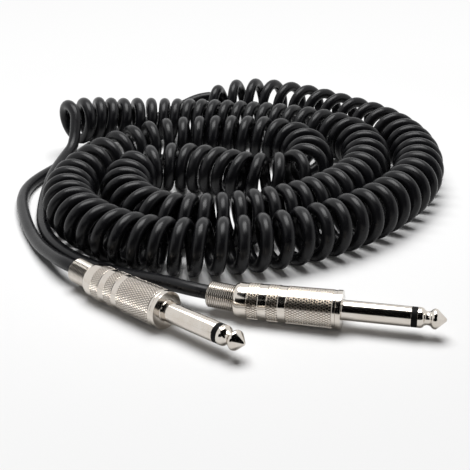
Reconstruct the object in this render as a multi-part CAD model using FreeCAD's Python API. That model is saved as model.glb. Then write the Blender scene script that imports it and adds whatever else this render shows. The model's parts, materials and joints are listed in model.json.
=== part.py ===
import FreeCAD, Part
import math
import os

# Instrument cable: a curly cord, a straight lead at each of its ends and two mono jack plugs.
# Millimetres, +Z up. The plugs and the cord lie on the plane Z = 0.
# The origin is under the middle of the box that holds the two plugs.

V = FreeCAD.Vector
FORWARD = V(1, 0, 0)
UP = V(0, 0, 1)

# Jack finger: 6.35 mm shaft, places measured from the collar's front face towards the tip
SHAFT_RADIUS = 3.175
SLEEVE_END = 20.9
RING_END = 22.7
TIP_FLANGE_END = 24.3
GROOVE_RADIUS = 1.95
GROOVE_START = 25.3
GROOVE_END = 26.2
BALL_RADIUS = 3.15
BALL_RISE = (27.35, 3.0)
BALL_START = 27.7
BALL_END = 28.2
BALL_FALL = (29.25, 2.75)
NOSE_START = (30.5, 1.45)
TIP_END = 31.3
ROD_RADIUS = 0.95
SLEEVE_BORE = 1.8
FIT = 0.05

# Collar and hub behind the finger, places measured backwards from the collar's front face
COLLAR_RADIUS = 6.1
COLLAR_LENGTH = 1.6
EDGE = 0.15
HUB_RADIUS = 5.0
HUB_END = 9.6

# Handle: a tapered barrel with three knurled bands that stand a little proud of the smooth ones
HANDLE_END = 33.6
KNURL_BANDS = [(29.2, 25.7), (22.9, 19.4), (16.9, 2.7)]
KNURL_REAR_RADIUS = 5.75
KNURL_FRONT_RADIUS = 6.05
BAND_STEP = 0.12
BAND_SLOPE = 0.1
SHOULDER_START = 32.1
SHOULDER_END_RADIUS = 4.85
HANDLE_BORE = HUB_RADIUS + FIT
REAR_WALL = 1.1
REAR_HOLE = 4.6

# Neck bush at the handle's rear, loose on a flange; the cable passes through it
PIVOT = 31.5
NECK_RADIUS = 4.225
NECK_BORE = 3.1
NECK_LENGTH = 11.0
NECK_CHAMFER = 0.4
FLANGE_RADIUS = 4.85
FLANGE_HALF = 0.5
CABLE_END = 11.8
CABLE_START = 9.5

# Inner parts
LINER_OUTER = 4.95
LINER_WALL = 0.5
LINER_FRONT = 10.6
LINER_REAR = 30.55
DISC_RADIUS = 4.0
SLEEVE_DISC = 0.6
WASHER = 1.0
TIP_DISC = 0.5
TIP_DISC_RADIUS = 2.5
RIVET_RADIUS = 1.6
RIVET_LENGTH = 0.7
STRIP_WIDTH = 3.0
STRIP_TOP = -2.6
STRIP_THICK = 0.5
STRIP_END = 25.5
CLAMP_INNER = 2.4
CLAMP_OUTER = 3.0
CLAMP_FRONT = 9.0
CLAMP_REAR = 5.5
TONGUE_WIDTH = 2.4
TONGUE_BOTTOM = 1.9
TONGUE_END = 18.0
CORE_RADIUS = 0.8
CORE_LENGTH = 1.6
CONDUCTOR_RADIUS = 0.35
BRAID_RADIUS = 0.6
SOLDER_RADIUS = 1.1

# The cord
WIRE = 4.7
CURL_RADIUS = 7.85
CURLS = 99.722
FLOOR_CUT = WIRE / 10
SECTION_SIDES = 6
HALF_TURNS = 2
AXIS_HEIGHT = CURL_RADIUS + WIRE / 2 - FLOOR_CUT
LEAD_HEIGHT = 2.4
LOW_END = CURL_RADIUS + LEAD_HEIGHT + 0.1
LIFTED = AXIS_HEIGHT + 6
FIRST_RUN = 6.5

# Where the curls' axis runs: x, y, height and the curls up to there, as counted on the real cord
CURLY_ROUTE = [
    (-78.5, 147.2, LIFTED, -1.222),
    (-68, 156.5, LIFTED, -0.25),
    (-54, 163.5, 13.5, 2.7),
    (-36, 166.5, AXIS_HEIGHT, 6.0),
    (-14, 166, AXIS_HEIGHT, 9.7),
    (8, 162, AXIS_HEIGHT, 13.3),
    (28, 156, AXIS_HEIGHT, 16.7),
    (44, 145, AXIS_HEIGHT, 19.2),
    (51.5, 128, AXIS_HEIGHT, 21.2),
    (51.5, 109, AXIS_HEIGHT, 23.1),
    (46, 90, AXIS_HEIGHT, 25.4),
    (34.5, 74, AXIS_HEIGHT, 28.3),
    (19.5, 61.5, AXIS_HEIGHT, 31.3),
    (2, 54, AXIS_HEIGHT, 34.4),
    (-16, 51, AXIS_HEIGHT, 37.3),
    (-32.5, 55, AXIS_HEIGHT, 40.0),
    (-44, 68.5, AXIS_HEIGHT, 42.4),
    (-47.5, 85.5, AXIS_HEIGHT, 44.6),
    (-41.5, 100.5, AXIS_HEIGHT, 46.5),
    (-26, 105.5, AXIS_HEIGHT, 48.1),
    (-8.5, 99, AXIS_HEIGHT, 51.2),
    (8.5, 91.5, AXIS_HEIGHT, 54.0),
    (23.5, 96, AXIS_HEIGHT, 55.9),
    (30.5, 110.5, AXIS_HEIGHT, 57.5),
    (29, 126, AXIS_HEIGHT, 59.1),
    (17.5, 137, AXIS_HEIGHT, 60.9),
    (-1, 140.5, AXIS_HEIGHT, 63.4),
    (-20, 140.5, AXIS_HEIGHT, 66.1),
    (-37, 137.5, AXIS_HEIGHT, 68.6),
    (-52, 125, AXIS_HEIGHT, 70.8),
    (-62, 106, AXIS_HEIGHT, 73.0),
    (-68.5, 85, AXIS_HEIGHT, 75.6),
    (-67, 65, AXIS_HEIGHT, 78.3),
    (-56.5, 48, AXIS_HEIGHT, 81.1),
    (-40, 35, AXIS_HEIGHT, 84.0),
    (-21, 29.2, AXIS_HEIGHT, 87.0),
    (1, 31, AXIS_HEIGHT, 90.2),
    (22, 38.5, AXIS_HEIGHT, 93.3),
    (42, 51.5, AXIS_HEIGHT, 96.6),
    (58.5, 69, AXIS_HEIGHT, 99.6),
    (69.5, 89, AXIS_HEIGHT, 102.4),
    (73.5, 112, AXIS_HEIGHT, 105.2),
    (71.5, 135, AXIS_HEIGHT, 108.0),
    (63.5, 154, AXIS_HEIGHT, 110.4),
    (47.5, 171, AXIS_HEIGHT, 112.7),
    (30, 187, AXIS_HEIGHT, 115.2),
    (13, 199.5, AXIS_HEIGHT, 117.4),
    (-3, 199.5, LOW_END, 119.2),
    (-13, 192, LOW_END, 120.4),
    (-18.5, 184.5, LOW_END, 121.5),
]

# The right lead, from beside the first curl to the right plug's neck
RIGHT_LEAD = [
    (-77.3, 130.5, 6),
    (-79, 122, 5.4),
    (-80.3, 112, 4),
    (-81.2, 100, 2.8),
    (-81.5, 85, 2.4),
    (-78.9, 67.5, 2.4),
    (-71.4, 50.2, 2.4),
    (-59.9, 36.6, 2.4),
    (-45.4, 25.6, 2.5),
    (-32.5, 18.6, 3.5),
    (-24.2, 12.2, 5),
    (-16.94, 7.15, 5.71),
    (-12.59, 5.65, 5.71),
]

# The left lead, from the left plug's neck to beside the last curl
LEFT_LEAD = [
    (-57.62, 22.99, 5.71),
    (-61.24, 25.83, 5.71),
    (-65.6, 30.6, 4.4),
    (-71, 37.8, 2.9),
    (-78, 51.2, 2.4),
    (-83.6, 64, 2.4),
    (-87.6, 78, 2.4),
    (-90, 93, 2.4),
    (-89.5, 107, 2.4),
    (-86.5, 120, 2.4),
    (-82.5, 133, 2.4),
    (-80.3, 147, 2.4),
    (-77.5, 161, 2.4),
    (-69.5, 175, 2.4),
    (-56, 186, 2.4),
    (-41.5, 190.6, 2.4),
]


# Small helpers

def arc_middle(start, corner, end):
    """The middle of the arc that leaves start towards corner and arrives at end."""
    chord = (start + end) * 0.5
    half_turn = math.atan2((corner - chord).Length, (end - start).Length / 2)
    if half_turn < 1e-6:
        return chord
    return chord + (corner - chord) * (math.tan(half_turn / 2) / math.tan(half_turn))


def level_corner(level, sloped):
    """The corner of the arc that is level at one point and passes through the other."""
    run = sloped[0] - level[0]
    drop = sloped[1] - level[1]
    return level[0] + (run ** 2 + drop ** 2) / (2 * run), level[1]


def turned(*steps):
    """A solid turned about X. A step is (x, radius), or a corner and an end for an arc."""
    first = V(steps[0][0], 0, steps[0][1])
    here = first
    edges = []
    for step in steps[1:]:
        if isinstance(step[0], tuple):
            corner = V(step[0][0], 0, step[0][1])
            there = V(step[1][0], 0, step[1][1])
            edges.append(Part.Arc(here, arc_middle(here, corner, there), there).toShape())
        else:
            there = V(step[0], 0, step[1])
            edges.append(Part.LineSegment(here, there).toShape())
        here = there
    edges.append(Part.LineSegment(here, first).toShape())
    return Part.Face(Part.Wire(edges)).revolve(V(0, 0, 0), FORWARD, 360)


def pipe(start, end, outer, inner=0):
    """A round bar along X, or a tube when it has an inner radius."""
    return turned((start, inner), (start, outer), (end, outer), (end, inner))


def block(x, y, z):
    """A box between the two values of each pair."""
    return Part.makeBox(x[1] - x[0], y[1] - y[0], z[1] - z[0], V(x[0], y[0], z[0]))


def rounded_path(points):
    """Straight runs joined by tangent arcs as large as the runs allow; the wire and the radii."""
    edges = []
    radii = []
    here = points[0]
    for before, corner, after in zip(points, points[1:], points[2:]):
        back = before - corner
        ahead = after - corner
        reach = 0.45 * min(back.Length, ahead.Length)
        turn = math.pi - back.getAngle(ahead)
        start = corner + back.normalize() * reach
        end = corner + ahead.normalize() * reach
        edges.append(Part.LineSegment(here, start).toShape())
        edges.append(Part.Arc(start, arc_middle(start, corner, end), end).toShape())
        radii.append(reach / math.tan(turn / 2))
        here = end
    edges.append(Part.LineSegment(here, points[-1]).toShape())
    return Part.Wire(edges), radii


def tube(points, radius):
    """A round tube along the rounded path; the solid, its radii and its length."""
    path, radii = rounded_path(points)
    ring = Part.Wire([Part.Circle(points[0], points[1] - points[0], radius).toShape()])
    return path.makePipeShell([ring], True, False), radii, path.Length


# The curly cord

def route_steps(route, steps=40):
    """Places along the smooth curve that the route's points control: position, curls so far."""
    out = []
    last = len(route) - 2
    for i in range(1, last + 1):
        a, b, c = [(V(*q[:3]), q[3]) for q in route[i - 1:i + 2]]
        start = a if i == 1 else ((a[0] + b[0]) * 0.5, (a[1] + b[1]) / 2)
        end = c if i == last else ((b[0] + c[0]) * 0.5, (b[1] + c[1]) / 2)
        for s in range(steps + (i == last)):
            t = s / steps
            weights = (1 - t) ** 2, 2 * t * (1 - t), t * t
            place = start[0] * weights[0] + b[0] * weights[1] + end[0] * weights[2]
            out.append((place, start[1] * weights[0] + b[1] * weights[1] + end[1] * weights[2]))
    return out


class Helix:
    """Left-handed curls about the route."""

    def __init__(self, route, curls, radius):
        self.steps = route_steps(route)
        self.first = route[0][3]
        self.scale = curls / (route[-1][3] - self.first)
        self.curls = curls
        self.radius = radius

    def axis(self, curl):
        count = self.first + curl / self.scale
        low = 0
        high = len(self.steps) - 1
        while high - low > 1:
            middle = (low + high) // 2
            if self.steps[middle][1] <= count:
                low = middle
            else:
                high = middle
        here, before = self.steps[low]
        there, after = self.steps[high]
        return here + (there - here) * ((count - before) / (after - before))

    def heading(self, curl):
        ahead = self.axis(min(curl + 0.12, self.curls))
        return (ahead - self.axis(max(curl - 0.12, 0))).normalize()

    def point(self, curl):
        heading = self.heading(curl)
        up = (UP - heading * UP.dot(heading)).normalize()
        left = up.cross(heading)
        angle = 2 * math.pi * (self.first + curl)
        return self.axis(curl) + (up * math.cos(angle) + left * math.sin(angle)) * self.radius

    def tangent(self, curl):
        ahead = self.point(min(curl + 0.004, self.curls))
        return (ahead - self.point(max(curl - 0.004, 0))).normalize()


def biarc(p, p_way, q, q_way):
    """Two arcs from p, leaving along p_way, to q, arriving along q_way; edges and radii."""
    chord = q - p
    ways = chord.dot(p_way + q_way)
    spread = 2 * (1 - p_way.dot(q_way))
    reach = (math.sqrt(ways ** 2 + spread * chord.dot(chord)) - ways) / spread
    first = p + p_way * reach
    second = q - q_way * reach
    joint = (first + second) * 0.5
    edges = [
        Part.Arc(p, arc_middle(p, first, joint), joint).toShape(),
        Part.Arc(joint, arc_middle(joint, second, q), q).toShape(),
    ]
    return edges, [edge.Curve.Radius for edge in edges]


def polygon_ring(centre, way, radius, sides):
    side = way.cross(UP).normalize()
    top = side.cross(way)
    corners = []
    for i in range(sides + 1):
        angle = 2 * math.pi * i / sides
        corners.append(centre + (side * math.cos(angle) + top * math.sin(angle)) * radius)
    return Part.makePolygon(corners)


def curly_cord(helix):
    """The curls as one unbroken six-sided tube with a straight end, one wire wide, at each end."""
    count = round(CURLS * HALF_TURNS)
    curls = [CURLS * i / count for i in range(count + 1)]
    points = [helix.point(curl) for curl in curls]
    ways = [helix.tangent(curl) for curl in curls]
    start = points[0] - ways[0] * WIRE
    end = points[-1] + ways[-1] * WIRE
    edges = [Part.LineSegment(start, points[0]).toShape()]
    radii = []
    for i in range(count):
        arcs, arc_radii = biarc(points[i], ways[i], points[i + 1], ways[i + 1])
        edges += arcs
        radii += arc_radii
    edges.append(Part.LineSegment(points[-1], end).toShape())
    path = Part.Wire(edges)
    ring = polygon_ring(start, ways[0], WIRE / 2, SECTION_SIDES)
    solid = path.makePipeShell([ring], True, False)
    section = SECTION_SIDES / 2 * math.sin(2 * math.pi / SECTION_SIDES) * (WIRE / 2) ** 2
    print("curly cord: length %.0f, least radius %.2f, volume against section times length %.4f"
          % (path.Length, min(radii), solid.Volume / (section * path.Length)))
    box = solid.BoundBox
    floor = block((box.XMin - 1, box.XMax + 1), (box.YMin - 1, box.YMax + 1), (-WIRE, 0))
    return solid.cut(floor), path, start, ways[0], end, ways[-1]


# Gaps, measured on points along the wires

def spaced(path, step=0.8):
    """Points along a wire, each with its distance from the start."""
    points = path.discretize(Distance=step)
    return [(point, i * step) for i, point in enumerate(points)]


def least_gap(ours, theirs, apart, reach=6.0):
    """The least distance between two sets of points less one wire, for places that far apart."""
    cells = {}
    for point, place in theirs:
        key = (point.x // reach, point.y // reach, point.z // reach)
        cells.setdefault(key, []).append((point, place))
    least = (reach, None)
    around = (-1, 0, 1)
    for point, place in ours:
        x, y, z = point.x // reach, point.y // reach, point.z // reach
        for key in [(x + i, y + j, z + k) for i in around for j in around for k in around]:
            for other, other_place in cells.get(key, []):
                if abs(place - other_place) >= apart:
                    distance = point.distanceToPoint(other)
                    if distance < least[0]:
                        least = (distance, point)
    return least[0] - WIRE, least[1]


# Plug pieces, in the plug's own frame: X along the axis towards the tip, 0 at the collar's face

def tip():
    back = -HUB_END - SLEEVE_DISC - WASHER - TIP_DISC
    nose_corner = ((TIP_END - NOSE_START[0]) ** 2 + NOSE_START[1] ** 2) / (2 * NOSE_START[1])
    return turned(
        (back - RIVET_LENGTH, 0),
        (back - RIVET_LENGTH, RIVET_RADIUS - 0.3),
        (back - RIVET_LENGTH + 0.3, RIVET_RADIUS),
        (back, RIVET_RADIUS),
        (back, ROD_RADIUS),
        (RING_END, ROD_RADIUS),
        (RING_END, SHAFT_RADIUS),
        (TIP_FLANGE_END, SHAFT_RADIUS),
        (GROOVE_START, GROOVE_RADIUS),
        (GROOVE_END, GROOVE_RADIUS),
        BALL_RISE,
        (level_corner((BALL_START, BALL_RADIUS), BALL_RISE), (BALL_START, BALL_RADIUS)),
        (BALL_END, BALL_RADIUS),
        (level_corner((BALL_END, BALL_RADIUS), BALL_FALL), BALL_FALL),
        NOSE_START,
        ((TIP_END, nose_corner), (TIP_END, 0)),
    )


def tip_ring():
    return pipe(SLEEVE_END, RING_END, SHAFT_RADIUS, ROD_RADIUS + FIT)


def core_tube():
    return pipe(-HUB_END, SLEEVE_END, SLEEVE_BORE - FIT, ROD_RADIUS + FIT)


def sleeve():
    return turned(
        (SLEEVE_END, SLEEVE_BORE),
        (SLEEVE_END, SHAFT_RADIUS),
        (0, SHAFT_RADIUS),
        (0, COLLAR_RADIUS - EDGE),
        (-EDGE, COLLAR_RADIUS),
        (EDGE - COLLAR_LENGTH, COLLAR_RADIUS),
        (-COLLAR_LENGTH, COLLAR_RADIUS - EDGE),
        (-COLLAR_LENGTH, HUB_RADIUS),
        (-HUB_END + 0.4, HUB_RADIUS),
        (-HUB_END, HUB_RADIUS - 0.4),
        (-HUB_END, SLEEVE_BORE),
    )


def sleeve_lug(clamp_frame):
    """A disc behind the hub, a strip along the bottom and a trough that grips the cable."""
    disc = pipe(-HUB_END - SLEEVE_DISC, -HUB_END, DISC_RADIUS, ROD_RADIUS + FIT)
    half = STRIP_WIDTH / 2
    strip = block((-STRIP_END, -HUB_END), (-half, half), (STRIP_TOP - STRIP_THICK, STRIP_TOP))
    trough = pipe(CLAMP_REAR, CLAMP_FRONT, CLAMP_OUTER, CLAMP_INNER)
    open_top = block((CLAMP_REAR - 1, CLAMP_FRONT + 1), (-CLAMP_OUTER, CLAMP_OUTER), (0.6, CLAMP_OUTER))
    trough = trough.cut(open_top)
    trough.Placement = clamp_frame
    return disc.fuse([strip, trough]).removeSplitter()


def rear_washer():
    """An insulating disc with a flat that leaves room for the strip."""
    front = -HUB_END - SLEEVE_DISC
    disc = pipe(front - WASHER, front, DISC_RADIUS, ROD_RADIUS + FIT)
    below = block((front - WASHER - 1, front + 1), (-DISC_RADIUS, DISC_RADIUS), (-DISC_RADIUS - 1, STRIP_TOP))
    return disc.cut(below)


def tip_lug():
    front = -HUB_END - SLEEVE_DISC - WASHER
    disc = pipe(front - TIP_DISC, front, TIP_DISC_RADIUS, ROD_RADIUS + FIT)
    half = TONGUE_WIDTH / 2
    tongue = block((-TONGUE_END, front), (-half, half), (TONGUE_BOTTOM, TONGUE_BOTTOM + TIP_DISC))
    return disc.fuse(tongue).removeSplitter()


def solder(x, z):
    """A low dome of solder standing on the plane Z = z."""
    dome = Part.makeSphere(SOLDER_RADIUS, V(x, 0, z))
    return dome.common(block((x - 2, x + 2), (-2, 2), (z, z + 2)))


def liner():
    return pipe(-LINER_REAR, -LINER_FRONT, LINER_OUTER, LINER_OUTER - LINER_WALL)


def handle():
    """The barrel, outside from rear to front with its bands, then back along the bore."""
    rear = KNURL_BANDS[0][0]
    front = KNURL_BANDS[-1][1]
    taper = (KNURL_FRONT_RADIUS - KNURL_REAR_RADIUS) / (rear - front)

    def knurl_radius(place):
        return KNURL_REAR_RADIUS + taper * (rear - place)

    def smooth_radius(place):
        return knurl_radius(place) - BAND_STEP

    rear_edge = (-HANDLE_END, SHOULDER_END_RADIUS)
    shoulder = (-SHOULDER_START, smooth_radius(SHOULDER_START))
    steps = [
        (-HANDLE_END, REAR_HOLE),
        rear_edge,
        (level_corner(shoulder, rear_edge), shoulder),
    ]
    for start, end in KNURL_BANDS:
        steps.append((-start - BAND_SLOPE, smooth_radius(start)))
        steps.append((-start, knurl_radius(start)))
        steps.append((-end, knurl_radius(end)))
        steps.append((-end + BAND_SLOPE, smooth_radius(end)))
    steps.append((-COLLAR_LENGTH - EDGE, smooth_radius(COLLAR_LENGTH)))
    steps.append((-COLLAR_LENGTH, smooth_radius(COLLAR_LENGTH) - EDGE))
    steps.append((-COLLAR_LENGTH, HANDLE_BORE))
    steps.append((REAR_WALL - HANDLE_END, HANDLE_BORE))
    steps.append((REAR_WALL - HANDLE_END, REAR_HOLE))
    return turned(*steps)


# Pieces on the neck's own frame: X backwards along the cable, 0 at the pivot

def neck():
    return turned(
        (-FLANGE_HALF, NECK_BORE),
        (-FLANGE_HALF, FLANGE_RADIUS),
        (FLANGE_HALF, FLANGE_RADIUS),
        (FLANGE_HALF, NECK_RADIUS),
        (NECK_LENGTH - NECK_CHAMFER, NECK_RADIUS),
        (NECK_LENGTH, NECK_RADIUS - NECK_CHAMFER),
        (NECK_LENGTH, NECK_BORE + NECK_CHAMFER),
        (NECK_LENGTH - NECK_CHAMFER, NECK_BORE),
    )


def cable_end():
    return pipe(-CABLE_START, CABLE_END, WIRE / 2)


def core():
    return pipe(-CABLE_START - CORE_LENGTH, -CABLE_START, CORE_RADIUS)


# Placing

def frame_along(origin, way):
    """A frame at origin with X along way and Z as near upright as it can be."""
    x = V(way).normalize()
    y = UP.cross(x).normalize()
    z = x.cross(y)
    return FreeCAD.Placement(origin, FreeCAD.Rotation(x, y, z, "XYZ"))


def plug(side, lead_end, lead_next, yaw):
    """Every piece of a plug whose cable leaves it from lead_end towards lead_next."""
    rear_contact = KNURL_BANDS[0][0]
    front_contact = COLLAR_LENGTH - EDGE
    tilt = math.atan2(COLLAR_RADIUS - KNURL_REAR_RADIUS, rear_contact - front_contact)
    height = COLLAR_RADIUS * math.cos(tilt) + front_contact * math.sin(tilt)
    yaw = math.radians(yaw)
    way = V(math.cos(yaw) * math.cos(tilt), math.sin(yaw) * math.cos(tilt), math.sin(tilt))
    cable_way = (lead_next - lead_end).normalize()
    pivot = lead_end - cable_way * CABLE_END
    face = pivot + way * PIVOT
    face.z = height
    body = frame_along(face, way)
    cable = frame_along(pivot, cable_way)
    jacket_front = body.inverse().multVec(pivot - cable_way * CABLE_START)
    core_way = body.inverse().Rotation.multVec(cable_way * -1)
    core_end = jacket_front + core_way * CORE_LENGTH
    tongue_top = TONGUE_BOTTOM + TIP_DISC + 0.02
    conductor = [
        core_end,
        core_end + core_way * 0.9,
        V(-TONGUE_END - 0.6, 0, tongue_top + CONDUCTOR_RADIUS),
        V(-TONGUE_END + 1.2, 0, tongue_top + CONDUCTOR_RADIUS),
    ]
    braid_front = jacket_front + V(0, 0, -1.5)
    braid = [
        braid_front,
        braid_front + core_way * 1.0,
        V(-TONGUE_END - 1.4, 0, STRIP_TOP + BRAID_RADIUS),
        V(-TONGUE_END + 0.6, 0, STRIP_TOP + BRAID_RADIUS),
    ]
    pieces = {
        "tip": tip(),
        "tip_ring": tip_ring(),
        "core_tube": core_tube(),
        "sleeve": sleeve(),
        "sleeve_lug": sleeve_lug(body.inverse() * frame_along(pivot, cable_way * -1)),
        "rear_washer": rear_washer(),
        "tip_lug": tip_lug(),
        "conductor": tube(conductor, CONDUCTOR_RADIUS)[0],
        "braid": tube(braid, BRAID_RADIUS)[0],
        "tip_solder": solder(-TONGUE_END + 1.2 + SOLDER_RADIUS, tongue_top),
        "sleeve_solder": solder(-TONGUE_END + 0.6 + SOLDER_RADIUS, STRIP_TOP),
        "liner": liner(),
        "handle": handle(),
    }
    for piece in pieces.values():
        piece.Placement = body * piece.Placement
    for name, piece in (("neck", neck()), ("cable_end", cable_end()), ("core", core())):
        piece.Placement = cable
        pieces[name] = piece
    print("%s plug: face (%.2f, %.2f, %.2f), way (%.4f, %.4f, %.4f), pivot (%.2f, %.2f, %.2f)"
          % (side, face.x, face.y, face.z, way.x, way.y, way.z, pivot.x, pivot.y, pivot.z))
    return {side + "_" + name: piece for name, piece in pieces.items()}


RIGHT_YAW = -13.98
LEFT_YAW = -41.22

helix = Helix(CURLY_ROUTE, CURLS, CURL_RADIUS)
curls, curls_path, first, first_way, last, last_way = curly_cord(helix)
right_points = [first, first - first_way * FIRST_RUN] + [V(*p) for p in RIGHT_LEAD]
left_points = [V(*p) for p in LEFT_LEAD] + [last + last_way * FIRST_RUN, last]
print("right lead leaves the curls at", first, "along", first_way * -1)
print("left lead leaves the curls at", last, "along", last_way)

nodes = {"curly_cord": curls}
for name, points in (("right_lead", right_points), ("left_lead", left_points)):
    solid, radii, length = tube(points, WIRE / 2)
    nodes[name] = solid
    print("%s: length %.1f, volume against section times length %.4f, least height %.2f, radii %s"
          % (name, length, solid.Volume / (math.pi * WIRE ** 2 / 4 * length), solid.BoundBox.ZMin,
             " ".join("%.0f" % r for r in radii)))
nodes.update(plug("right", right_points[-1], right_points[-2], RIGHT_YAW))
nodes.update(plug("left", left_points[0], left_points[1], LEFT_YAW))

wire_points = spaced(curls_path)
right_path = spaced(rounded_path(right_points)[0])
left_path = spaced(rounded_path(left_points)[0])
far = 1e6
right_apart = [(p, far) for p, place in right_path if place > 2 * WIRE]
left_apart = [(p, far) for p, place in left_path if place < left_path[-1][1] - 2 * WIRE]
for name, ours, theirs in (
    ("curls to themselves", wire_points, wire_points),
    ("right lead to the curls", right_apart, wire_points),
    ("left lead to the curls", left_apart, wire_points),
    ("right lead to left lead", right_apart, [(p, 0) for p, place in left_path]),
):
    gap, where = least_gap(ours, theirs, 4 * WIRE)
    print("least gap, %s: %.2f at %s" % (name, gap, where))

os.makedirs("parts", exist_ok=True)
for name, shape in nodes.items():
    if len(shape.Solids) != 1 or not shape.isValid():
        print("check", name, len(shape.Solids), shape.isValid())
    shape.exportStep("parts/%s.step" % name)
print(len(nodes), "nodes")
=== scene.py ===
"""A black curly instrument cable with two nickel jack plugs, on a white floor."""
import bpy
import json
import math
from bisect import bisect_right
from mathutils import Matrix, Vector


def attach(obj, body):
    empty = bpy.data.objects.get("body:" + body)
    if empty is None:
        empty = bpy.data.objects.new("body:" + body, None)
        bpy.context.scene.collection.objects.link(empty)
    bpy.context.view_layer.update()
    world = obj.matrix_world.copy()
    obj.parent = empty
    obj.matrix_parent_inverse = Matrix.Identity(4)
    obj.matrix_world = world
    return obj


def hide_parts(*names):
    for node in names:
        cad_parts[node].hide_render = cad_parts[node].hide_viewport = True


MM = 0.001

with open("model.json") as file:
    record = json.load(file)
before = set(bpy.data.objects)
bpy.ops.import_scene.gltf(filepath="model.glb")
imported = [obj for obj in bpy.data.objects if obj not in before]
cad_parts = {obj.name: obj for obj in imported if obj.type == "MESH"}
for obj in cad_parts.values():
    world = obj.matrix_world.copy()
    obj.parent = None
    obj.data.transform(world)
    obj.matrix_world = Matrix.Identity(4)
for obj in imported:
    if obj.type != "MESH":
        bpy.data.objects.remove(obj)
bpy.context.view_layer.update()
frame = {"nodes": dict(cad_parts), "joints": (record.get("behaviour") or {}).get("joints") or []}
collection = bpy.context.scene.collection

# Camera, at the photograph's place: millimetres and degrees
CAMERA_PLACE = (-3.5, -261.4, 151.9)
CAMERA_DOWN = 25.16
CAMERA_ROLL = -0.64
CAMERA_LENS = 73.39
CAMERA_SENSOR = 36
CAMERA_CLIP = 0.01

# Jack finger, millimetres from the collar's front face towards the tip
SHAFT_RADIUS = 3.175
SLEEVE_END = 20.9
SLEEVE_BORE = 1.8
SLEEVE_FACE_RADIUS = 2.0
SLEEVE_EDGE = 0.12
COLLAR_FILLET = [(0.5, SHAFT_RADIUS), (0.05, 3.3), (0, 3.6)]
RING_END = 22.7
RING_RADIUS = 3.15
RING_FACE_RADIUS = 3.08
RING_BORE = 1.2
FINGER_EDGE = 0.08
ROD_START = 21.0
ROD_RADIUS = 0.95
TIP_FLANGE_FACE_RADIUS = 3.1
TIP_FLANGE_END = 23.6

# The tip ahead of its flange. Each curve has a corner that draws it out, an end and a number of steps.
TIP_CURVES = [
    ((24.2, 3.15), (24.6, 2.75), 8),
    ((25.0, 2.2), (25.6, 2.12), 8),
    ((26.2, 2.1), (26.7, 2.5), 8),
    ((27.3, 3.17), (27.9, 3.17), 10),
    ((28.4, 3.17), (28.8, 2.8), 8),
]
TIP_CONE = [(29.6, 2.05), (30.5, 1.2), (31.05, 0.68)]
TIP_POINT_CURVE = ((31.35, 0.4), (31.38, 0.2), 4)
TIP_END = 31.4

# Collar and hub, millimetres behind the collar's front face
COLLAR_RADIUS = 6.1
COLLAR_LENGTH = 1.6
HUB_RADIUS = 5.0
HUB_END = 9.6
HUB_NECK_DEPTH = 0.4
HUB_NECK_LENGTH = 0.5
HUB_THREAD_GAP = 0.8
HUB_THREAD_RADIUS = 4.97
HUB_THREAD_DEPTH = 0.38
HUB_PITCH = 0.75
HUB_END_BEVEL = 0.5

# Handle, millimetres behind the collar's front face
HANDLE_END = 33.6
HANDLE_BORE = 5.05
REAR_WALL = 1.1
REAR_HOLE = 4.6
REAR_HOLE_BEVEL = 0.1
REAR_FACE_RADIUS = 4.7
SHOULDER_START = 32.1
SHOULDER_CORNER = 33.62
SHOULDER_CORNER_RADIUS = 5.3
SHOULDER_STEPS = 10
KNURL_BANDS = [(29.2, 25.7), (22.9, 19.4), (16.9, 2.7)]
KNURL_REAR_RADIUS = 5.75
KNURL_FRONT_RADIUS = 6.05
BAND_STEP = 0.12
BAND_SLOPE = 0.14
BAND_EDGE = 0.04
BAND_EDGE_DROP = 0.02
DIAMONDS_ROUND = 44
DIAMOND_PITCH = 1.6
DIAMOND_STEPS = 6
KNURL_DEPTH = 0.22
# Knurl faces sunk deeper than this take a darker copy of the plating: painted shade in the knurl's grooves
KNURL_SHADE_DEPTH = 0.12
LIP_GAP = 0.02
LIP_LENGTH = 0.2
LIP_DROP = 0.15

# Neck, millimetres behind its pivot
NECK_RADIUS = 4.225
NECK_BORE = 3.1
NECK_LENGTH = 11.0
NECK_COLLAR_END = 1.2
NECK_THREAD_START = 1.25
NECK_PITCH = 0.675
NECK_RIDGES = 14
NECK_THREAD_DEPTH = 0.36
# Thread faces sunk deeper than this take a darker copy of the plating: painted shade in the thread's
# grooves
NECK_SHADE_DEPTH = 0.2
NECK_LIP = [(NECK_LENGTH - 0.28, 4.05), (NECK_LENGTH - 0.05, 3.9)]
NECK_LIP_CURVES = [
    ((NECK_LENGTH, 3.85), (NECK_LENGTH, 3.7), 3),
    ((NECK_LENGTH, 3.2), (NECK_LENGTH - 0.35, NECK_BORE), 4),
]
FLANGE_RADIUS = 4.85
FLANGE_HALF = 0.5
NECK_EDGE = 0.08
CABLE_END = 11.8
CABLE_START = 9.5

# How finely the turned pieces are drawn
SEGMENTS = 96
RING_SEGMENTS = 72
THREAD_STEPS = 8
EDGE_STEPS = 3
EDGE_SHARE = 0.45
SHARP_ANGLE = 32

# The cord
WIRE = 4.7
CURL_RADIUS = 7.85
LAST_RADIUS = 3.6
LAST_CURLS = 3
AXIS_HEIGHT = CURL_RADIUS + WIRE / 2
LOW_END = LAST_RADIUS + WIRE / 2
LIFTED = AXIS_HEIGHT + 6
HEADING_STEP = 0.12
NECK_RISE = 0.35
TURN_POINTS = 16
ROUTE_STEPS = 24
CORD_STEPS = 3
CORD_BEVEL = 6

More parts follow.
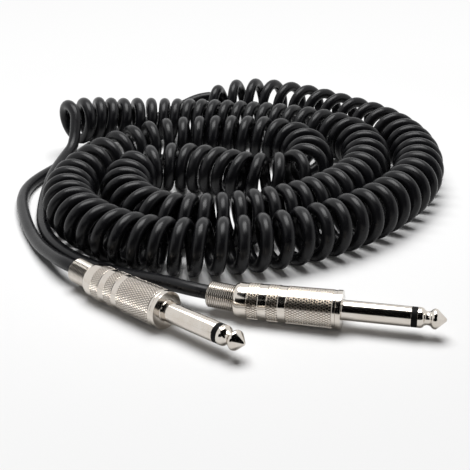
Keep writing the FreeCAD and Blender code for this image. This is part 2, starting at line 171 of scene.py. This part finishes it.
# Where the curls' axis runs: x, y, height and the curls up to there, as counted in the photograph.
# The last curls draw in where they run out into the left lead.
CURLY_ROUTE = [
    (-77.0, 146.5, LIFTED, -1.15),
    (-69.6, 153.3, 16, 0.1),
    (-57.4, 158, 13.5, 2.5),
    (-44, 165.2, 11.4, 4.7),
    (-30, 167.3, AXIS_HEIGHT, 7.0),
    (-14, 165.5, AXIS_HEIGHT, 9.8),
    (7.5, 161.3, AXIS_HEIGHT, 13.4),
    (27, 154.5, AXIS_HEIGHT, 16.7),
    (44.5, 143.5, AXIS_HEIGHT, 19.3),
    (52.2, 127, AXIS_HEIGHT, 21.3),
    (51.5, 108.5, AXIS_HEIGHT, 23.2),
    (45.5, 89.8, AXIS_HEIGHT, 25.5),
    (34, 74.5, AXIS_HEIGHT, 28.3),
    (19.2, 62, AXIS_HEIGHT, 31.3),
    (1.8, 54.9, AXIS_HEIGHT, 34.4),
    (-15.5, 51.4, AXIS_HEIGHT, 37.3),
    (-31.3, 54.4, AXIS_HEIGHT, 40.0),
    (-42.6, 67.8, AXIS_HEIGHT, 42.4),
    (-46.5, 85.5, AXIS_HEIGHT, 44.6),
    (-42.5, 101.9, AXIS_HEIGHT, 46.4),
    (-27.5, 107.5, AXIS_HEIGHT, 48.1),
    (-10.4, 101.4, AXIS_HEIGHT, 51.0),
    (3.4, 92.4, AXIS_HEIGHT, 53.7),
    (22, 94.3, AXIS_HEIGHT, 55.9),
    (28.3, 109.3, AXIS_HEIGHT, 57.5),
    (27, 126.5, AXIS_HEIGHT, 59.2),
    (16.8, 137.6, AXIS_HEIGHT, 60.9),
    (-0.5, 141.2, AXIS_HEIGHT, 63.4),
    (-20, 141, AXIS_HEIGHT, 66.2),
    (-37, 137.5, AXIS_HEIGHT, 68.6),
    (-52, 125, AXIS_HEIGHT, 70.8),
    (-61.5, 106, AXIS_HEIGHT, 73.0),
    (-67.9, 85, AXIS_HEIGHT, 75.6),
    (-65, 65, AXIS_HEIGHT, 78.3),
    (-54.5, 48.5, AXIS_HEIGHT, 81.1),
    (-40.2, 36.2, AXIS_HEIGHT, 83.9),
    (-21.6, 30.2, AXIS_HEIGHT, 87.0),
    (1.2, 32.2, AXIS_HEIGHT, 90.2),
    (22, 39.8, AXIS_HEIGHT, 93.3),
    (41, 52.5, AXIS_HEIGHT, 96.5),
    (57, 69.6, AXIS_HEIGHT, 99.6),
    (69, 89.9, AXIS_HEIGHT, 102.5),
    (73.3, 112.5, AXIS_HEIGHT, 105.3),
    (71.3, 135, AXIS_HEIGHT, 108.0),
    (63, 155, AXIS_HEIGHT, 110.4),
    (48, 171.5, AXIS_HEIGHT, 112.7),
    (32.5, 187.5, AXIS_HEIGHT, 114.9),
    (15, 198.5, AXIS_HEIGHT, 117.1),
    (-3, 201.2, 10, 119.1),
    (-14.5, 200.2, 7.9, 120.5),
    (-16.5, 205.6, LOW_END, 121.0),
]

# The right lead, from beside the first curl to the right plug's neck
RIGHT_LEAD = [
    (-73, 133.2, 11),
    (-75.2, 127.5, 9),
    (-77.2, 119, 7.8),
    (-78.9, 108, 6.3),
    (-79.5, 98, 3.9),
    (-79.1, 87.5, 2.5),
    (-77.8, 77, 2.4),
    (-75.7, 66.7, 2.4),
    (-70.5, 53.3, 2.4),
    (-63, 42.4, 2.4),
    (-54.8, 34.5, 2.4),
    (-45, 27.6, 2.6),
    (-35.8, 21.6, 3.9),
    (-27.2, 15.2, 5.5),
    (-21.6, 10.6, 6.3),
    (-16.8, 7.59, 6.21),
    (-12.47, 5.96, 6.07),
]

# The left lead, from the left plug's neck to beside the last curl
LEFT_LEAD = [
    (-56.82, 23.91, 5.94),
    (-60.13, 27.11, 6.03),
    (-63.5, 31.4, 5.7),
    (-67.6, 38, 4.6),
    (-72.8, 46.8, 3.3),
    (-77.3, 56.6, 2.4),
    (-81.6, 67.1, 2.4),
    (-85.2, 78.5, 2.4),
    (-87.7, 88, 2.4),
    (-89, 97, 2.4),
    (-88.7, 106.5, 2.4),
    (-85.6, 116.5, 2.4),
    (-80.8, 126, 2.4),
    (-76, 137, 2.4),
    (-71.3, 148, 2.4),
    (-67.5, 160, 2.4),
    (-61, 171.5, 2.4),
    (-53, 181.5, 2.4),
    (-45.5, 190.5, 2.4),
    (-38.5, 195.6, 3.6),
    (-31, 197.8, 6.7),
    (-22.6, 204.4, 9.1),
]

# Floor: it glows least up to one distance from its centre, and most from the other on
FLOOR_CENTRE = (0, 80, 0)
FLOOR_HALF = 4000
GLOW_START = 100
GLOW_END = 270
GLOW_LEAST = 0.01
GLOW_MOST = 0.9

# Light: the world's own, what the camera and the metal see of it, and a softbox over the cable
WORLD_LIGHT = 0.08
WORLD_SEEN = 1.0
SOFTBOX_PLACE = (-30, 170, 640)
SOFTBOX_TARGET = (-10, 90, 0)
SOFTBOX_SIZE = (520, 460)
SOFTBOX_POWER = 6.1

# Black cards that the metal mirrors: one behind the camera, one over it and one on its left
CARD_SIDE = 900
CARD_FRONT = -700
CARD_BOTTOM = 40
CARD_TOP = 640
CARD_HIGH_LEFT = -420
CARD_HIGH_BACK = -75
CARD_LEFT_BACK = -430

# Where the values of a noise texture begin and end
NOISE_LOW = 0.3
NOISE_HIGH = 0.7


def make_camera():
    data = bpy.data.cameras.new("camera")
    data.lens = CAMERA_LENS
    data.sensor_width = CAMERA_SENSOR
    data.clip_start = CAMERA_CLIP
    camera = bpy.data.objects.new("camera", data)
    place = Matrix.Translation(Vector(CAMERA_PLACE) * MM)
    pitch = Matrix.Rotation(math.radians(90 - CAMERA_DOWN), 4, "X")
    roll = Matrix.Rotation(math.radians(CAMERA_ROLL), 4, "Z")
    camera.matrix_world = place @ pitch @ roll
    collection.objects.link(camera)
    bpy.context.scene.camera = camera


# Materials

class Surface:
    """A principled material and the helpers to wire its nodes."""

    def __init__(self, name, colour, roughness, metallic=0.0, specular=0.5):
        self.material = bpy.data.materials.new(name)
        self.material.use_nodes = True
        self.nodes = self.material.node_tree.nodes
        self.links = self.material.node_tree.links
        self.shader = self.nodes["Principled BSDF"]
        self.shader.inputs["Base Color"].default_value = (*colour, 1)
        self.shader.inputs["Roughness"].default_value = roughness
        self.shader.inputs["Metallic"].default_value = metallic
        self.shader.inputs["Specular IOR Level"].default_value = specular

    def noise(self, coordinates, scale, stretch=(1, 1, 1)):
        """Noise with scale waves a metre on Object coordinates, or a millimetre on UV."""
        where = self.nodes.new("ShaderNodeTexCoord")
        mapping = self.nodes.new("ShaderNodeMapping")
        mapping.inputs["Scale"].default_value = [scale * s for s in stretch]
        self.links.new(where.outputs[coordinates], mapping.inputs["Vector"])
        noise = self.nodes.new("ShaderNodeTexNoise")
        noise.inputs["Scale"].default_value = 1
        noise.inputs["Detail"].default_value = 3
        self.links.new(mapping.outputs["Vector"], noise.inputs["Vector"])
        return noise.outputs["Fac"]

    def vary_colour(self, source, dark, light):
        ramp = self.nodes.new("ShaderNodeValToRGB")
        for element, place, colour in zip(ramp.color_ramp.elements, (NOISE_LOW, NOISE_HIGH), (dark, light)):
            element.position = place
            element.color = (*colour, 1)
        self.links.new(source, ramp.inputs["Fac"])
        self.links.new(ramp.outputs["Color"], self.shader.inputs["Base Color"])

    def vary_roughness(self, source, low, high):
        spread = self.nodes.new("ShaderNodeMapRange")
        spread.inputs["From Min"].default_value = NOISE_LOW
        spread.inputs["From Max"].default_value = NOISE_HIGH
        spread.inputs["To Min"].default_value = low
        spread.inputs["To Max"].default_value = high
        self.links.new(source, spread.inputs["Value"])
        self.links.new(spread.outputs["Result"], self.shader.inputs["Roughness"])

    def bump(self, source, height, strength):
        """Relief of a height in millimetres."""
        bump = self.nodes.new("ShaderNodeBump")
        bump.inputs["Strength"].default_value = strength
        bump.inputs["Distance"].default_value = height * MM
        self.links.new(source, bump.inputs["Height"])
        self.links.new(bump.outputs["Normal"], self.shader.inputs["Normal"])


def jacket_material():
    surface = Surface("jacket", (0.006, 0.006, 0.007), 0.29, specular=0.2)
    surface.vary_colour(surface.noise("Object", scale=90), (0.004, 0.004, 0.005), (0.008, 0.008, 0.009))
    surface.vary_roughness(surface.noise("Object", scale=320), low=0.25, high=0.33)
    surface.bump(surface.noise("Object", scale=2600), height=0.02, strength=0.25)
    return surface.material


def nickel_material(name, dark, light, roughness):
    """Polished plate with faint lines round it."""
    surface = Surface(name, dark, roughness, metallic=1.0)
    surface.vary_colour(surface.noise("UV", scale=0.25), dark, light)
    surface.vary_roughness(surface.noise("UV", scale=0.6), low=roughness * 0.85, high=roughness * 1.2)
    surface.bump(surface.noise("UV", scale=1, stretch=(0.2, 0.9, 1)), height=0.002, strength=0.1)
    return surface.material


def plain_material(name, dark, light, roughness, metallic=0.0, specular=0.5):
    surface = Surface(name, dark, roughness, metallic, specular)
    surface.vary_colour(surface.noise("Object", scale=600), dark, light)
    surface.vary_roughness(surface.noise("Object", scale=1500), low=roughness * 0.85, high=roughness * 1.15)
    surface.bump(surface.noise("Object", scale=4000), height=0.01, strength=0.3)
    return surface.material


MATERIALS = {
    "jacket": jacket_material(),
    "plating": nickel_material("plating", (0.60, 0.55, 0.49), (0.65, 0.61, 0.56), 0.13),
    "knurled": nickel_material("knurled_plating", (0.70, 0.64, 0.57), (0.75, 0.70, 0.64), 0.16),
    # A darker copy of the plating: painted shade in the neck thread's grooves
    "groove_shade": plain_material("groove_shade", (0.14, 0.125, 0.11), (0.20, 0.18, 0.16), 0.36, metallic=1.0),
    # A darker copy of the knurled plating: painted shade in the knurl's grooves
    "knurl_groove_shade": plain_material(
        "knurl_groove_shade", (0.23, 0.21, 0.185), (0.30, 0.275, 0.245), 0.32, metallic=1.0),
    "ring": plain_material("ring", (0.004, 0.004, 0.004), (0.006, 0.006, 0.006), 0.5, specular=0.06),
    "insulation": plain_material("insulation", (0.74, 0.71, 0.64), (0.80, 0.77, 0.70), 0.5),
    "washer": plain_material("washer", (0.16, 0.065, 0.03), (0.22, 0.10, 0.05), 0.55),
    "lugs": plain_material("lugs", (0.68, 0.52, 0.26), (0.76, 0.62, 0.36), 0.28, metallic=1.0),
    "solder": plain_material("solder", (0.55, 0.55, 0.56), (0.66, 0.66, 0.67), 0.32, metallic=1.0),
    "liner": plain_material("liner", (0.78, 0.78, 0.75), (0.84, 0.84, 0.81), 0.45),
    "copper": plain_material("copper", (0.68, 0.33, 0.18), (0.80, 0.44, 0.27), 0.3, metallic=1.0),
}


# The cord: one line from inside the right neck, along the lead, the curls and the other lead

def smooth_line(name, points):
    data = bpy.data.curves.new(name, "CURVE")
    data.dimensions = "3D"
    spline = data.splines.new("NURBS")
    spline.points.add(len(points) - 1)
    for control, point in zip(spline.points, points):
        control.co = (*point, 1)
    spline.order_u = 3
    spline.use_endpoint_u = True
    return bpy.data.objects.new(name, data)


def read_line(points, steps):
    """Places along the smooth line that the points control."""
    line = smooth_line("route", points)
    line.data.resolution_u = steps
    mesh = bpy.data.meshes.new_from_object(line)
    places = [vertex.co.copy() for vertex in mesh.vertices]
    bpy.data.meshes.remove(mesh)
    bpy.data.objects.remove(line)
    return places


def curl_points():
    """Left-handed curls about the route, with the photograph's count."""
    axis_line = read_line([Vector(p[:3]) for p in CURLY_ROUTE], ROUTE_STEPS)
    counts = [place.x for place in read_line([(p[3], 0, 0) for p in CURLY_ROUTE], ROUTE_STEPS)]
    first = counts[0]
    last = counts[-1]
    # The line runs inside its control points, which stand out so far that it has the curls' radius
    growth = 1 / (0.75 + 0.25 * math.cos(2 * math.pi / TURN_POINTS))

    def radius(count):
        share = max(1 - (last - count) / LAST_CURLS, 0)
        return CURL_RADIUS + (LAST_RADIUS - CURL_RADIUS) * share ** 2

    def axis(count):
        high = min(max(bisect_right(counts, count), 1), len(counts) - 1)
        share = (count - counts[high - 1]) / (counts[high] - counts[high - 1])
        return axis_line[high - 1].lerp(axis_line[high], share)

    points = []
    steps = round((last - first) * TURN_POINTS)
    for i in range(steps + 1):
        count = first + (last - first) * i / steps
        ahead = axis(min(count + HEADING_STEP, last))
        heading = (ahead - axis(max(count - HEADING_STEP, first))).normalized()
        up = (Vector((0, 0, 1)) - heading * heading.z).normalized()
        left = up.cross(heading)
        angle = 2 * math.pi * count
        out = up * math.cos(angle) + left * math.sin(angle)
        points.append(axis(count) + out * radius(count) * growth)
    return points


def make_cord(plugs):
    right, left = plugs
    points = [right["pivot"] - right["cable_way"] * CABLE_START, right["pivot"]]
    points += [Vector(p) for p in reversed(RIGHT_LEAD)]
    points += curl_points()
    points += [Vector(p) for p in reversed(LEFT_LEAD)]
    points += [left["pivot"], left["pivot"] - left["cable_way"] * CABLE_START]
    # The cable lies a little high where it leaves each neck
    for point in points[2:4] + points[-4:-2]:
        point.z += NECK_RISE
    cord = smooth_line("cord", [p * MM for p in points])
    cord.data.bevel_depth = WIRE / 2 * MM
    cord.data.bevel_resolution = CORD_BEVEL
    cord.data.resolution_u = CORD_STEPS
    cord.data.use_fill_caps = True
    cord.data.materials.append(MATERIALS["jacket"])
    collection.objects.link(cord)
    line = read_line(points, CORD_STEPS)
    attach(cord, "cable")
    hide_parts("right_lead", "curly_cord", "left_lead", "right_cable_end", "left_cable_end")


# Turned pieces

def frame_along(origin, way):
    """A matrix at origin, in millimetres, with X along way and Z as near upright as it can be."""
    x = way.normalized()
    y = Vector((0, 0, 1)).cross(x).normalized()
    z = x.cross(y)
    rotation = Matrix((x, y, z)).transposed().to_4x4()
    return Matrix.Translation(origin) @ rotation


def ring_points(rings, segments, place, relief):
    """The points of a turned mesh, how far relief lowers each, and which of them each ring has."""
    points = []
    depths = []
    rows = []
    for i, ring in enumerate(rings):
        x, radius = ring[:2]
        if radius == 0:
            rows.append([len(points)] * (segments + 1))
            points.append(place @ Vector((x, 0, 0)) * MM)
            depths.append(0)
            continue
        row = []
        for s in range(segments):
            angle = 2 * math.pi * s / segments
            depth = relief(i, s) if relief else 0
            r = radius - depth
            row.append(len(points))
            points.append(place @ Vector((x, r * math.cos(angle), r * math.sin(angle))) * MM)
            depths.append(depth)
        rows.append(row + row[:1])
    return points, depths, rows


def lathe(name, rings, segments, place, materials, relief=None, closed=False, groove_shade=None):
    """A turned mesh. A ring is (x, radius), (x, radius, material) or (x, radius, material, knurl row).

    Relief lowers its points. Faces that relief lowers by more than the depth given for the groove shade
    take the last material, a darker copy that paints shade into the grooves.
    """
    points, depths, rows = ring_points(rings, segments, place, relief)
    lengths = [0.0]
    for before, ring in zip(rings, rings[1:]):
        lengths.append(lengths[-1] + math.dist(before[:2], ring[:2]))
    faces = []
    uvs = []
    slots = []
    count = len(rings)
    for i in range(count if closed else count - 1):
        j = (i + 1) % count
        near = lengths[i]
        far = lengths[j] if j else lengths[i] + math.dist(rings[0][:2], rings[-1][:2])
        around = 2 * math.pi * max(rings[i][1], rings[j][1]) / segments
        slot = rings[i][2] if len(rings[i]) > 2 else 0
        knurled = len(rings[i]) > 3 and len(rings[j]) > 3
        for s in range(segments):
            corners = [(rows[i][s], s, near), (rows[i][s + 1], s + 1, near),
                       (rows[j][s + 1], s + 1, far), (rows[j][s], s, far)]
            for face in split(corners, rings[i][3], s) if knurled else [corners]:
                kept = [c for n, c in enumerate(face) if c[0] != face[n - 1][0]]
                faces.append([c[0] for c in kept])
                uvs += [(c[1] * around, c[2]) for c in kept]
                # Faces sunk past that depth take the last material, painted shade
                deep = groove_shade and sum(depths[c[0]] for c in kept) > groove_shade * len(kept)
                slots.append(len(materials) - 1 if deep else slot)
    mesh = bpy.data.meshes.new(name)
    mesh.from_pydata(points, [], faces)
    layer = mesh.uv_layers.new(name="UVMap")
    for loop, uv in zip(layer.data, uvs):
        loop.uv = uv
    for polygon, slot in zip(mesh.polygons, slots):
        polygon.material_index = slot
        polygon.use_smooth = materials[slot] is MATERIALS["plating"]
    for material in materials:
        mesh.materials.append(material)
    mesh.set_sharp_from_angle(angle=math.radians(SHARP_ANGLE))
    mesh.validate()
    piece = bpy.data.objects.new(name, mesh)
    collection.objects.link(piece)
    return piece


def split(corners, row, s):
    """The faces of one knurled cell, which fold along the knurl's grooves or beside them."""
    a, b, c, d = corners
    for beside in ((0,), (1, DIAMOND_STEPS - 1)):
        if (s - row) % DIAMOND_STEPS in beside:
            return [[a, b, c], [a, c, d]]
        if (s + row + 1) % DIAMOND_STEPS in beside:
            return [[a, b, d], [b, c, d]]
    return [corners]


def rounded(start, corner, end, steps):
    """Places on the curve from start to end that its corner draws out, without its start."""
    out = []
    for i in range(1, steps + 1):
        t = i / steps
        weights = (1 - t) ** 2, 2 * t * (1 - t), t * t
        out.append(tuple(sum(w * p[n] for w, p in zip(weights, (start, corner, end))) for n in (0, 1)))
    return out


def add_curves(profile, curves):
    """Draws the profile on from its end by curves of a corner, an end and a number of steps."""
    for corner, end, steps in curves:
        profile += rounded(profile[-1], corner, end, steps)


def chamfered(profile, size):
    """The profile with each of its corners, but the ends, drawn out over a small curve.

    The curve starts and ends at size from the corner, or at a share of the run where that is nearer.
    """
    out = [profile[0]]
    for before, corner, after in zip(profile, profile[1:], profile[2:]):
        near = min(size, math.dist(before, corner) * EDGE_SHARE)
        far = min(size, math.dist(corner, after) * EDGE_SHARE)
        start = [c + (b - c) * near / math.dist(before, corner) for c, b in zip(corner, before)]
        end = [c + (a - c) * far / math.dist(corner, after) for c, a in zip(corner, after)]
        out.append(tuple(start))
        out += rounded(start, corner, end, EDGE_STEPS)
    out.append(profile[-1])
    return out


def thread_relief(start, end, depth):
    """Relief that winds round the rings from start to end: depth gives it for a share of a turn."""
    def relief(i, s):
        if not start <= i < end:
            return 0
        turn = (i - start) / THREAD_STEPS + s / SEGMENTS
        return depth(turn % 1)

    return relief


def make_tip(side, place):
    profile = [
        (ROD_START, 0),
        (ROD_START, ROD_RADIUS),
        (RING_END, ROD_RADIUS),
        (RING_END, TIP_FLANGE_FACE_RADIUS),
        (RING_END + FINGER_EDGE, SHAFT_RADIUS),
        (TIP_FLANGE_END, SHAFT_RADIUS),
    ]
    add_curves(profile, TIP_CURVES)
    profile += TIP_CONE
    add_curves(profile, [TIP_POINT_CURVE])
    profile.append((TIP_END, 0))
    return lathe(side + "_tip_piece", profile, SEGMENTS, place, [MATERIALS["plating"]])


def make_ring(side, place):
    profile = [
        (SLEEVE_END, RING_BORE),
        (SLEEVE_END, RING_FACE_RADIUS),
        (SLEEVE_END + FINGER_EDGE, RING_RADIUS),
        (RING_END - FINGER_EDGE, RING_RADIUS),
        (RING_END, RING_FACE_RADIUS),
        (RING_END, RING_BORE),
    ]
    return lathe(side + "_ring_piece", profile, RING_SEGMENTS, place, [MATERIALS["ring"]])


def make_sleeve(side, place):
    neck_radius = HUB_RADIUS - HUB_NECK_DEPTH
    outline = [(SLEEVE_END, SLEEVE_FACE_RADIUS), (SLEEVE_END, SHAFT_RADIUS)]
    outline += COLLAR_FILLET
    outline += [
        (0, COLLAR_RADIUS),
        (-COLLAR_LENGTH, COLLAR_RADIUS),
        (-COLLAR_LENGTH, neck_radius),
        (-COLLAR_LENGTH - HUB_NECK_LENGTH, neck_radius),
    ]
    profile = [(SLEEVE_END, SLEEVE_BORE)]
    profile += chamfered(outline, SLEEVE_EDGE)
    thread_start = len(profile)
    thread_front = COLLAR_LENGTH + HUB_THREAD_GAP
    steps = round((HUB_END - HUB_END_BEVEL - thread_front) / HUB_PITCH * THREAD_STEPS)
    for i in range(steps + 1):
        profile.append((-thread_front - i * HUB_PITCH / THREAD_STEPS, HUB_THREAD_RADIUS))

    def depth(share):
        return HUB_THREAD_DEPTH * abs(2 * share - 1)

    relief = thread_relief(thread_start, len(profile), depth)
    profile += [(-HUB_END, HUB_RADIUS - HUB_END_BEVEL), (-HUB_END, SLEEVE_BORE)]
    return lathe(side + "_sleeve_piece", profile, SEGMENTS, place, [MATERIALS["plating"]], relief)


def make_neck(side, place):
    profile = chamfered([
        (-FLANGE_HALF, NECK_BORE),
        (-FLANGE_HALF, FLANGE_RADIUS),
        (FLANGE_HALF, FLANGE_RADIUS),
        (FLANGE_HALF, NECK_RADIUS),
        (NECK_COLLAR_END, NECK_RADIUS),
    ], NECK_EDGE)
    thread_start = len(profile)
    for i in range(NECK_RIDGES * THREAD_STEPS + 1):
        profile.append((NECK_THREAD_START + i * NECK_PITCH / THREAD_STEPS, NECK_RADIUS))

    def depth(share):
        return NECK_THREAD_DEPTH * (1 - math.sin(math.pi * share))

    relief = thread_relief(thread_start, len(profile), depth)
    profile += NECK_LIP
    add_curves(profile, NECK_LIP_CURVES)
    # The second material paints shade into the thread's grooves
    materials = [MATERIALS["plating"], MATERIALS["groove_shade"]]
    return lathe(side + "_neck_piece", profile, SEGMENTS, place, materials, relief,
                 closed=True, groove_shade=NECK_SHADE_DEPTH)


def smooth_radius(x):
    """The handle's radius between its knurled bands."""
    rear = KNURL_BANDS[0][0]
    front = KNURL_BANDS[-1][1]
    taper = (KNURL_FRONT_RADIUS - KNURL_REAR_RADIUS) / (rear - front)
    return KNURL_REAR_RADIUS + taper * (rear + x) - BAND_STEP


def band_rings(start, end):
    """A knurled band that stands proud of the handle, with a sloping edge at each side."""
    rings = [
        (-start - BAND_SLOPE, smooth_radius(-start), 0),
        (-start - BAND_EDGE, smooth_radius(-start) + BAND_STEP - BAND_EDGE_DROP, 0),
    ]
    rows = round((start - end) / DIAMOND_PITCH * DIAMOND_STEPS)
    for row in range(rows + 1):
        x = -start + (start - end) * row / rows
        rings.append((x, smooth_radius(x) + BAND_STEP, 1, row))
    rings.append((-end + BAND_EDGE, smooth_radius(-end) + BAND_STEP - BAND_EDGE_DROP, 0))
    rings.append((-end + BAND_SLOPE, smooth_radius(-end), 0))
    return rings


def make_handle(side, place):
    lip = -COLLAR_LENGTH - LIP_GAP
    lip_radius = smooth_radius(lip)
    rings = [
        (-HANDLE_END + REAR_HOLE_BEVEL, REAR_HOLE),
        (-HANDLE_END, REAR_HOLE + REAR_HOLE_BEVEL),
        (-HANDLE_END, REAR_FACE_RADIUS),
    ]
    shoulder_corner = (-SHOULDER_CORNER, SHOULDER_CORNER_RADIUS)
    shoulder_start = (-SHOULDER_START, smooth_radius(-SHOULDER_START))
    add_curves(rings, [(shoulder_corner, shoulder_start, SHOULDER_STEPS)])
    for start, end in KNURL_BANDS:
        rings += band_rings(start, end)
    rings.append((lip - LIP_LENGTH, lip_radius))
    add_curves(rings, [((lip, lip_radius), (lip, lip_radius - LIP_DROP), EDGE_STEPS)])
    rings += [
        (lip, HANDLE_BORE),
        (REAR_WALL - HANDLE_END, HANDLE_BORE),
        (REAR_WALL - HANDLE_END, REAR_HOLE),
    ]

    def relief(i, s):
        if len(rings[i]) < 4:
            return 0
        row = rings[i][3]
        on_groove = (s + row) % DIAMOND_STEPS == 0 or (s - row) % DIAMOND_STEPS == 0
        return KNURL_DEPTH if on_groove else 0

    # The last material paints shade into the knurl's grooves
    materials = [MATERIALS["plating"], MATERIALS["knurled"], MATERIALS["knurl_groove_shade"]]
    segments = DIAMONDS_ROUND * DIAMOND_STEPS
    return lathe(side + "_handle_piece", rings, segments, place, materials, relief,
                 closed=True, groove_shade=KNURL_SHADE_DEPTH)


def read_plug(side, lead_end, lead_next):
    """Where the plug's collar and pivot are, and which way its finger and its cable point."""
    hinge = next(joint for joint in frame["joints"] if joint["name"] == side + "_unscrew")
    cable_way = (Vector(lead_next) - Vector(lead_end)).normalized()
    return {
        "side": side,
        "face": Vector(hinge["pos_m"]) / MM,
        "way": -Vector(hinge["axis"]).normalized(),
        "pivot": Vector(lead_end) - cable_way * CABLE_END,
        "cable_way": cable_way,
    }


def make_plug(plug):
    side = plug["side"]
    body = frame_along(plug["face"], plug["way"])
    cable = frame_along(plug["pivot"], plug["cable_way"])
    for piece, node, rides, slot in (
        (make_tip(side, body), "tip", "cable", "plating"),
        (make_ring(side, body), "tip_ring", "cable", "ring"),
        (make_sleeve(side, body), "sleeve", "cable", "plating"),
        (make_handle(side, body), "handle", side + "_barrel", "plating"),
        (make_neck(side, cable), "neck", side + "_rear", "plating"),
    ):
        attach(piece, rides)
        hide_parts(side + "_" + node)


def dress_inner_parts():
    """The CAD parts inside the plugs keep their shapes and get these materials."""
    kinds = {
        "core_tube": "insulation",
        "core": "insulation",
        "rear_washer": "washer",
        "liner": "liner",
        "sleeve_lug": "lugs",
        "tip_lug": "lugs",
        "tip_solder": "solder",
        "sleeve_solder": "solder",
        "conductor": "copper",
        "braid": "copper",
    }
    for side in ("right", "left"):
        for kind, material in kinds.items():
            node = frame["nodes"][side + "_" + kind]
            if not node.material_slots:
                node.data.materials.append(MATERIALS[material])
            for slot in node.material_slots:
                slot.material = MATERIALS[material]


# Floor, lights and backdrop

def seen_rays(tree):
    """1 for camera, glossy and transmission rays, 0 for the rays that carry light."""
    path = tree.nodes.new("ShaderNodeLightPath")
    total = path.outputs["Is Camera Ray"]
    for name in ("Is Glossy Ray", "Is Transmission Ray"):
        add = tree.nodes.new("ShaderNodeMath")
        add.operation = "MAXIMUM"
        tree.links.new(total, add.inputs[0])
        tree.links.new(path.outputs[name], add.inputs[1])
        total = add.outputs["Value"]
    return total


def make_world():
    world = bpy.data.worlds.new("studio")
    bpy.context.scene.world = world
    world.use_nodes = True
    tree = world.node_tree
    tree.nodes.clear()
    out = tree.nodes.new("ShaderNodeOutputWorld")
    mix = tree.nodes.new("ShaderNodeMixShader")
    tree.links.new(seen_rays(tree), mix.inputs["Fac"])
    for strength, place in ((WORLD_LIGHT, mix.inputs[1]), (WORLD_SEEN, mix.inputs[2])):
        white = tree.nodes.new("ShaderNodeBackground")
        white.inputs["Color"].default_value = (1, 1, 1, 1)
        white.inputs["Strength"].default_value = strength
        tree.links.new(white.outputs["Background"], place)
    tree.links.new(mix.outputs["Shader"], out.inputs["Surface"])


def sheet(name, corners, material):
    mesh = bpy.data.meshes.new(name)
    mesh.from_pydata([Vector(c) * MM for c in corners], [], [range(len(corners))])
    mesh.materials.append(material)
    piece = bpy.data.objects.new(name, mesh)
    collection.objects.link(piece)
    return piece


def make_floor():
    """A white floor that takes the cable's shadow and glows more and more the further it is from it."""
    surface = Surface("floor", (0.80, 0.80, 0.80), 0.9, specular=0.0)
    emission = surface.nodes.new("ShaderNodeEmission")
    emission.inputs["Color"].default_value = (1, 1, 1, 1)
    emission.inputs["Strength"].default_value = 1.0
    where = surface.nodes.new("ShaderNodeTexCoord")
    away = surface.nodes.new("ShaderNodeVectorMath")
    away.operation = "DISTANCE"
    away.inputs[1].default_value = Vector(FLOOR_CENTRE) * MM
    surface.links.new(where.outputs["Object"], away.inputs[0])
    spread = surface.nodes.new("ShaderNodeMapRange")
    spread.interpolation_type = "SMOOTHSTEP"
    spread.inputs["From Min"].default_value = GLOW_START * MM
    spread.inputs["From Max"].default_value = GLOW_END * MM
    spread.inputs["To Min"].default_value = GLOW_LEAST
    spread.inputs["To Max"].default_value = GLOW_MOST
    surface.links.new(away.outputs["Value"], spread.inputs["Value"])
    amount = surface.nodes.new("ShaderNodeMath")
    amount.operation = "MULTIPLY"
    surface.links.new(seen_rays(surface.material.node_tree), amount.inputs[0])
    surface.links.new(spread.outputs["Result"], amount.inputs[1])
    mix = surface.nodes.new("ShaderNodeMixShader")
    surface.links.new(amount.outputs["Value"], mix.inputs["Fac"])
    surface.links.new(surface.shader.outputs["BSDF"], mix.inputs[1])
    surface.links.new(emission.outputs["Emission"], mix.inputs[2])
    surface.links.new(mix.outputs["Shader"], surface.nodes["Material Output"].inputs["Surface"])
    corners = [(x * FLOOR_HALF, y * FLOOR_HALF, 0) for x, y in ((-1, -1), (1, -1), (1, 1), (-1, 1))]
    sheet("floor", corners, surface.material)


def make_cards():
    """Black cards round the camera, which the metal mirrors and the camera doesn't see."""
    surface = Surface("card", (0.004, 0.004, 0.004), 1.0, specular=0.0)
    cards = {
        "card_low": [
            (-CARD_SIDE, CARD_FRONT, CARD_BOTTOM),
            (CARD_SIDE, CARD_FRONT, CARD_BOTTOM),
            (CARD_SIDE, CARD_FRONT, CARD_TOP),
            (-CARD_SIDE, CARD_FRONT, CARD_TOP),
        ],
        "card_high": [
            (CARD_HIGH_LEFT, CARD_FRONT, CARD_TOP),
            (CARD_SIDE, CARD_FRONT, CARD_TOP),
            (CARD_SIDE, CARD_HIGH_BACK, CARD_TOP),
            (CARD_HIGH_LEFT, CARD_HIGH_BACK, CARD_TOP),
        ],
        "card_left": [
            (-CARD_SIDE, CARD_FRONT, CARD_BOTTOM),
            (-CARD_SIDE, CARD_LEFT_BACK, CARD_BOTTOM),
            (-CARD_SIDE, CARD_LEFT_BACK, CARD_TOP),
            (-CARD_SIDE, CARD_FRONT, CARD_TOP),
        ],
    }
    for name, corners in cards.items():
        card = sheet(name, corners, surface.material)
        card.visible_camera = False
        card.visible_shadow = False
        card.visible_diffuse = False


def make_softbox():
    data = bpy.data.lights.new("softbox", "AREA")
    data.shape = "RECTANGLE"
    data.size = SOFTBOX_SIZE[0] * MM
    data.size_y = SOFTBOX_SIZE[1] * MM
    data.energy = SOFTBOX_POWER
    light = bpy.data.objects.new("softbox", data)
    way = (Vector(SOFTBOX_TARGET) - Vector(SOFTBOX_PLACE)) * MM
    turn = way.to_track_quat("-Z", "Y").to_matrix().to_4x4()
    light.matrix_world = Matrix.Translation(Vector(SOFTBOX_PLACE) * MM) @ turn
    collection.objects.link(light)


bpy.context.scene.view_settings.view_transform = "Standard"
make_camera()
plugs = [
    read_plug("right", RIGHT_LEAD[-1], RIGHT_LEAD[-2]),
    read_plug("left", LEFT_LEAD[0], LEFT_LEAD[1]),
]
make_cord(plugs)
for plug in plugs:
    make_plug(plug)
dress_inner_parts()
make_world()
make_floor()
make_cards()
make_softbox()
